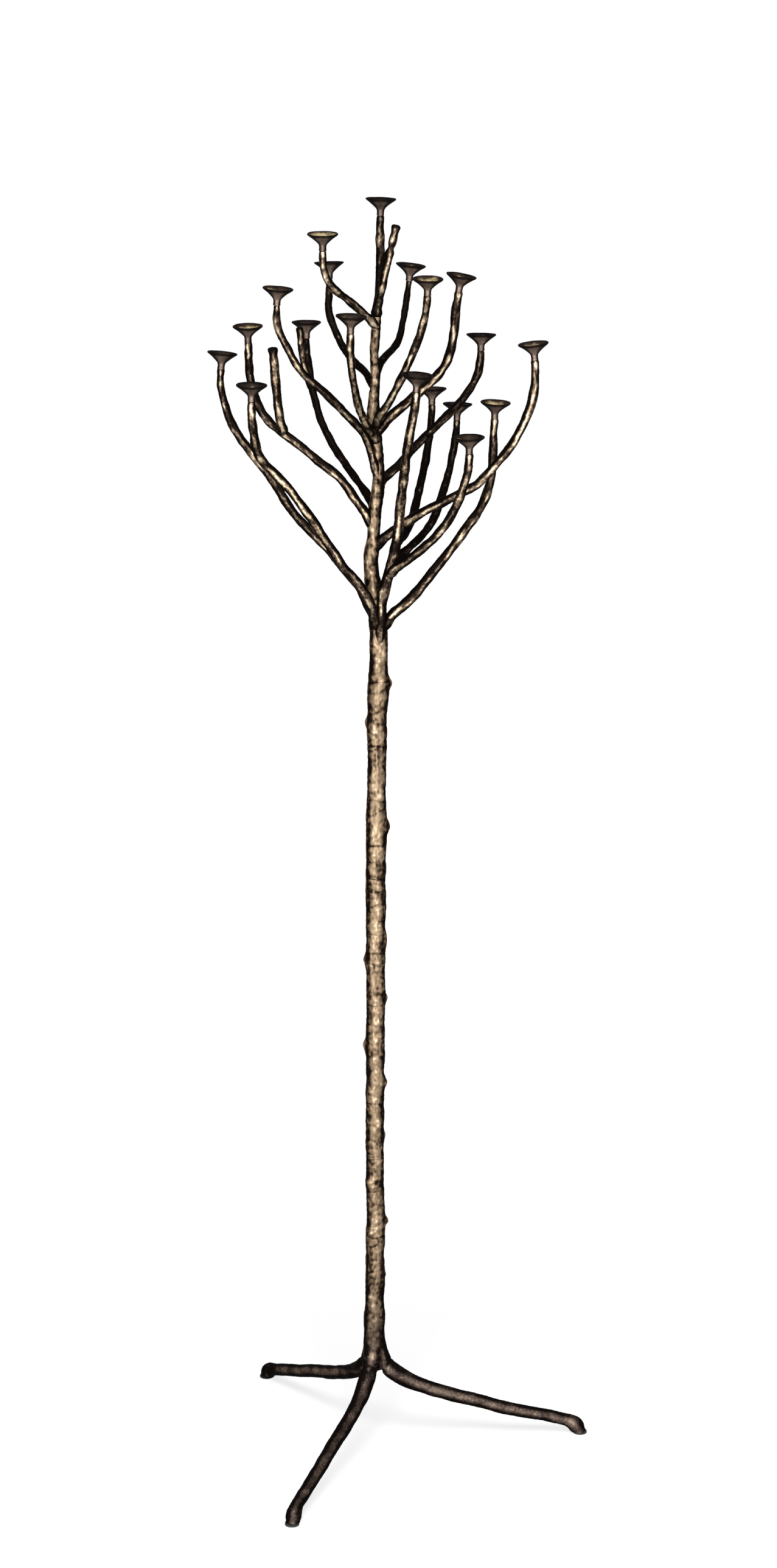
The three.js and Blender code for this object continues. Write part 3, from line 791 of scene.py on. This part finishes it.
twig = {
    "sides": 32,
    "ring": 0.0012,
    "knuckle": (0, 50, 0.7, 8.8),  # how often it repeats across and along, how deep in mm, and its seed
    "lump": (190, 70, 0.9, 4.4),
    "weather": (60, 38, 0.3, 6.6),  # how unevenly it is rubbed
    "furrow": (260, 24, 0.5, 1.7),
    "pit": (480, 260, 0.35, 6.1),
    "nextSeed": 3.7,  # how far apart the twigs read the noise, so that no two are alike
    # Along from the tip in mm, how far it stands out in mm, and half its length
    "knobs": {"bare_twig_top": [(3, 0.9, 4), (11, -1.0, 5), (32, -1.4, 4), (40, 1.3, 5)],
              "bare_twig_left": [(3, 0.8, 4), (10, -0.8, 5)], "bare_twig_back": [(3, 0.7, 4)]},
    "collar": (1.6, 0.007),  # how much thicker the root is in mm, and how far up that reaches
    "tipRound": (1.2, 0.0006),  # how much thinner the tip is in mm, and how far down that reaches
    "paintedLight": Vector((0, -1, 0)),  # the front, which the camera faces, and from which the painted light falls
    "kept": (0.42, 0.992, 0.8),  # how dark the painted side shade is, and where it ends and is whole
    "shadeOnTop": (0.3, -0.1, 0.4),  # how dark the painted shade on top is, and where it sets in and is whole
    "wornAndShaded": {"plain": 0.6, "height": 0.5, "knuckle": 0.25, "root": 0.22, "end": 0.4},
    "endKnob": 5,  # a knob nearer to the tip than this, in mm, has a dark cut end
    # How much darker each of these is than the others: painted shade on the branches at the back, and
    # painted light where it is below 0
    "darkenedBy": {"branch_3": 0.3, "branch_5": 0.35, "branch_9": 0.35, "branch_16": 0.3, "branch_17": 0.2,
               "branch_13": 0.12, "leader": 0.15, "bare_twig_top": 0.02, "bare_twig_left": -0.06,
               "branch_19": -0.06, "branch_14": -0.04},
    # How a twig's middle is read from its solid
    "rimSpread": 0.0004,  # the points of a cup's rim are as far from its middle, to this
    "endDepth": 0.0032,  # the cut end of a bare twig leans by this much
    "walkFrom": 0.003,  # below the tip
    "past": 0.0001,  # the bark begins this far above the tip
    "rootReach": 0.06,  # the carrier's surface is nearer to the root than this
    "rootDepth": 0.004,  # where it isn't found, it is taken to be this near
    "rootShare": 0.75,  # of the carrier's radius, at most, inside it
}
carriers = {"branch_16": "branch_15", "branch_17": "branch_15", "branch_18": "branch_15",
            "bare_twig_left": "branch_8", "bare_twig_back": "branch_9", "bare_twig_top": "leader"}
twigNames = [name for name, slotName in slotOf.items() if slotName == "twig_bronze"]
twigNames.sort(key=lambda name: (name in carriers, name))  # what carries others comes first


def cupFrame(name):
    # The cup's foot and axis, from the rings of its solid
    form = copyOfNode(name)
    points = [point.co.copy() for point in form.verts]
    form.free()
    middle = sum(points, Vector()) / len(points)
    farthest = max((spot - middle).length for spot in points)
    rim = [spot for spot in points if abs((spot - middle).length - farthest) < twig["rimSpread"]]
    axis = (sum(rim, Vector()) / len(rim) - middle).normalized()
    lowest = min((spot - middle).dot(axis) for spot in points)
    return middle + axis * lowest, axis


def cutEnd(name):
    # The middle of a bare twig's upper end
    form = copyOfNode(name)
    top = max(point.co.z for point in form.verts)
    rim = [point.co.copy() for point in form.verts if point.co.z > top - twig["endDepth"]]
    form.free()
    return sum(rim, Vector()) / len(rim)


linesMade = {"crown_stem": trunkMiddle}


def twigLine(name):
    # From the tip down to the root, and on to the middle of what carries it
    if name.startswith("bare"):
        tip = cutEnd(name)
        heading = Vector((0, 0, -1))
    else:
        tip, axis = cupFrame("cup_1" if name == "leader" else name.replace("branch", "cup"))
        heading = -axis
    line, heading = followLine(name, tip + heading * twig["walkFrom"], heading)
    line.insert(0, (tip - heading * twig["past"], line[0][1]))
    line = evened(line)
    carrier = carriers.get(name, "crown_stem")
    end, radius = line[-1]
    entry = skinOf(carrier).ray_cast(end, heading, twig["rootReach"])
    rootAt = entry[3] if entry[0] else twig["rootDepth"]

    def beside(station):
        return (end + heading * (station[0] - end).dot(heading) - station[0]).length

    ahead = [station for station in linesMade[carrier] if (station[0] - end).dot(heading) > 0]
    nearest = min(ahead, key=beside)
    line.append((nearest[0], min(radius, nearest[1] * twig["rootShare"])))
    linesMade[name] = line
    return line, (line[-1][0] - end).length - rootAt


def reliefOf(name, seed, rootPlace):
    # What rolledTube asks of a twig whose root is at rootPlace along it
    flare, flareReach = twig["collar"]
    narrowing, narrowReach = twig["tipRound"]
    darkenedBy = twig["darkenedBy"].get(name, 0)
    toneSteps = twig["wornAndShaded"]
    depth, clear, full = twig["kept"]
    topDepth, topFrom, topWhole = twig["shadeOnTop"]

    def reliefAt(place, spot, way, heading):
        seeded = place + Vector((0, 0, seed))
        knuckle = layered(seeded, *twig["knuckle"])
        height = layered(seeded, *twig["lump"]) + layered(seeded, *twig["pit"])
        height += furrowed(seeded, *twig["furrow"])
        root = math.exp(-((max(0, rootPlace - place.z) / flareReach) ** 2))
        # Painted shade: dark sides away from the front, and darker on top
        dark = depth * paintedSideShadeAt(way, heading, twig["paintedLight"], clear, full)
        dark += topDepth * eased(way.z, topFrom, topWhole)
        uneven = knuckle * toneSteps["knuckle"] + layered(seeded, *twig["weather"])
        # Painted shade on the back branches, and painted light on a few front ones
        wornAndShaded = toneSteps["plain"] + height * toneSteps["height"] + uneven - root * toneSteps["root"] - dark - darkenedBy
        for at, out, halfLength in twig["knobs"].get(name, ()):
            height += out * math.exp(-((place.z * 1000 - at) / halfLength) ** 2)
            if at < twig["endKnob"]:
                wornAndShaded -= toneSteps["end"] * math.exp(-(place.z * 1000 / halfLength) ** 2)
        tip = math.exp(-place.z / narrowReach)
        return height + knuckle + root * flare - narrowing * tip, wornAndShaded

    return reliefAt


def makeTwigs():
    for i, name in enumerate(twigNames):
        line, sunk = twigLine(name)
        stations = curved(line, twig["ring"])
        rootPlace = sum((b[0] - a[0]).length for a, b in zip(stations, stations[1:])) - sunk
        form = rolledTube(stations, twig["sides"], reliefOf(name, i * twig["nextSeed"], rootPlace))
        finishPiece(form, name + "Bark", "twig_bronze", [name])
    print("twigs made:", len(twigNames))


makeTwigs()


# Cups: thin spun funnels with a rolled-out lip and a spike

cup = {
    "profile": [  # radius and height over the neck's foot, in mm
        (0, 16.5), (1.1, 14.2), (1.7, 11.9), (4.4, 11.6), (6.4, 12.7), (9.0, 15.0), (12.6, 17.9),
        (16.2, 20.8), (18.6, 22.8), (19.6, 23.5), (20.5, 23.6), (21.1, 22.9), (20.9, 21.9), (19.9, 20.9),
        (17.0, 18.9), (13.4, 16.2), (10.2, 13.5), (7.8, 11.2), (6.1, 9.3), (5.2, 7.6), (4.9, 5.0),
        (4.95, 2.4), (5.1, 0.5), (4.8, 0.1), (2.9, 0.1), (2.9, 7.0), (0, 7.0),
    ],
    "segments": 56,
    "bowlFrom": 0.0112,  # the faces over this height that look up at least this much are the bowl's
    "bowlFacing": 0.05,
    "insideFacing": 0.3,  # points that look up more than this are worn as the inside is
    # How worn the cup is, and how much darker for each mm past a radius in mm
    "inside": {"wornAndShaded": 0.5, "past": 14, "darker": 0.15},
    "outside": {"wornAndShaded": 0.84, "past": 18, "darker": 0.4},
    "kept": (1.3, 0.99, 0.62),  # how dark the painted side shade is, and where it ends and is whole
    "paintedLight": {2: 0.6, 4: 0.2, 6: 0.35, 8: 0.25, 14: 0.3, 18: 0.1, 19: 0.4},  # how much painted highlight lies in these bowls
    "dent": (90, 90, 0.35, 2.9),
    "pit": (380, 380, 0.12, 9.3),
}


def cupHeight(spot):
    return layered(spot, *cup["dent"]) + layered(spot, *cup["pit"])


def cupWearAndShade(point, foot, axis, paintedLight):
    out = (point.co - foot).cross(axis).length * 1000
    inward = point.normal.dot(axis) > cup["insideFacing"]
    toneSteps = cup["inside" if inward else "outside"]
    wornAndShaded = toneSteps["wornAndShaded"] - toneSteps["darker"] * max(0, out - toneSteps["past"])
    if inward:
        # Painted highlight inside some bowls
        return wornAndShaded + paintedLight
    # Painted shade at the sides of the cone
    outward = axis.cross(point.co - foot).cross(axis).normalized()
    depth, clear, full = cup["kept"]
    return wornAndShaded - depth * paintedSideShadeAt(outward, axis, twig["paintedLight"], clear, full)


def makeCups():
    for number in range(1, 20):
        name = f"cup_{number}"
        foot, axis = cupFrame(name)
        form = bmesh.new()
        points = [form.verts.new((radius * 0.001, 0, height * 0.001))
                  for radius, height in cup["profile"]]
        edges = [form.edges.new(pair) for pair in zip(points, points[1:])]
        bmesh.ops.spin(form, geom=points + edges, cent=(0, 0, 0), axis=(0, 0, 1), angle=math.tau,
                       steps=cup["segments"], use_merge=True, use_normal_flip=False, use_duplicate=False)
        bmesh.ops.remove_doubles(form, verts=form.verts, dist=1e-6)
        bmesh.ops.recalc_face_normals(form, faces=form.faces)
        for face in form.faces:
            high = face.calc_center_median().z > cup["bowlFrom"]
            face.material_index = 1 if high and face.normal.z > cup["bowlFacing"] else 0
        turn = Vector((0, 0, 1)).rotation_difference(axis).to_matrix()
        bmesh.ops.rotate(form, verts=form.verts, cent=(0, 0, 0), matrix=turn)
        bmesh.ops.translate(form, verts=form.verts, vec=foot)
        form.normal_update()
        wearAndShade = form.verts.layers.float.new("wearAndShade")
        heights = [cupHeight(point.co) for point in form.verts]
        for point, height in zip(form.verts, heights):
            point[wearAndShade] = height + cupWearAndShade(point, foot, axis, cup["paintedLight"].get(number, 0))
            point.co += point.normal * height * 0.001
        finishPiece(form, f"cup{number}Cast", "cup_bronze", [name], [bowlBronze])
    print("cups made")


makeCups()


# Small parts under the hub and the pads

def finishNodes():
    for name, slotName in slotOf.items():
        if slotName in ("steel", "pad_rubber"):
            mesh = nodes[name].data
            if not mesh.materials:
                mesh.materials.append(finish[slotName])
            nodes[name].material_slots[0].material = finish[slotName]


finishNodes()


# Stage: a white floor that keeps the tree's faint shadow, and soft studio light

stage = {
    "floorHalf": 9.0,
    "floorColour": 0.36,
    "floorGlow": (0.72, 0.98),  # near the tree and far from it
    "floorReach": (0.5, 2.6),
    "world": 0.12,
}
lamps = {  # the place, watts, width and height of each, and the height that it is turned to
    "key": ((0.02, -3.9, 5.2), 330, 2.3, 2.3, 0.8),
    "front": ((-0.2, -3.2, 0.62), 26, 2.4, 1.1, 0.9),
    "low": ((-0.15, -1.9, 0.1), 76, 3.0, 2.2, 0.9),
    "rear": ((-0.6, 3.4, 4.2), 30, 3.4, 3.4, 1.0),
}


def cameraShare(tree):
    # 1 for what the camera sees, also through and in the object, and 0 for what lights the object
    path = tree.nodes.new("ShaderNodeLightPath")
    seen = mathNode(tree, "MAXIMUM", path.outputs["Is Camera Ray"], path.outputs["Is Glossy Ray"])
    return mathNode(tree, "MAXIMUM", seen, path.outputs["Is Transmission Ray"])


def makeFloor():
    form = bmesh.new()
    bmesh.ops.create_grid(form, x_segments=2, y_segments=2, size=stage["floorHalf"])
    floor = objectFrom(meshFrom(form, "floor"), "floor")
    material = bpy.data.materials.new("floorWhite")
    material.use_nodes = True
    tree = material.node_tree
    tree.nodes.remove(tree.nodes["Principled BSDF"])
    matte = tree.nodes.new("ShaderNodeBsdfDiffuse")
    matte.inputs["Color"].default_value = (*(stage["floorColour"],) * 3, 1)
    glow = tree.nodes.new("ShaderNodeEmission")
    away = tree.nodes.new("ShaderNodeVectorMath")
    away.operation = "LENGTH"
    tree.links.new(objectPlace(tree), away.inputs[0])
    rising = tree.nodes.new("ShaderNodeMapRange")
    tree.links.new(away.outputs["Value"], rising.inputs["Value"])
    rising.inputs["From Min"].default_value, rising.inputs["From Max"].default_value = stage["floorReach"]
    rising.inputs["To Min"].default_value, rising.inputs["To Max"].default_value = stage["floorGlow"]
    strength = mathNode(tree, "MULTIPLY", cameraShare(tree), rising.outputs["Result"])
    tree.links.new(strength, glow.inputs["Strength"])
    both = tree.nodes.new("ShaderNodeAddShader")
    tree.links.new(matte.outputs[0], both.inputs[0])
    tree.links.new(glow.outputs[0], both.inputs[1])
    tree.links.new(both.outputs[0], tree.nodes["Material Output"].inputs["Surface"])
    floor.data.materials.append(material)


def makeWorld():
    world = bpy.data.worlds.new("studio")
    bpy.context.scene.world = world
    world.use_nodes = True
    tree = world.node_tree
    sky = tree.nodes["Background"]
    sky.inputs["Color"].default_value = (1, 1, 1, 1)
    seen = cameraShare(tree)
    strength = mathNode(tree, "ADD", mathNode(tree, "MULTIPLY", seen, 1 - stage["world"]), stage["world"])
    tree.links.new(strength, sky.inputs["Strength"])


def areaLight(name, spot, watts, width, height, aim):
    data = bpy.data.lights.new(name, "AREA")
    data.energy = watts
    data.shape = "RECTANGLE"
    data.size = width
    data.size_y = height
    light = bpy.data.objects.new(name, data)
    light.location = spot
    light.rotation_euler = (Vector((0, 0, aim)) - Vector(spot)).to_track_quat("-Z", "Y").to_euler()
    bpy.context.collection.objects.link(light)


makeFloor()
makeWorld()
for lamp, (spot, watts, width, height, aim) in lamps.items():
    areaLight(lamp, spot, watts, width, height, aim)
bpy.context.scene.view_settings.view_transform = "Standard"
print("stage lit")
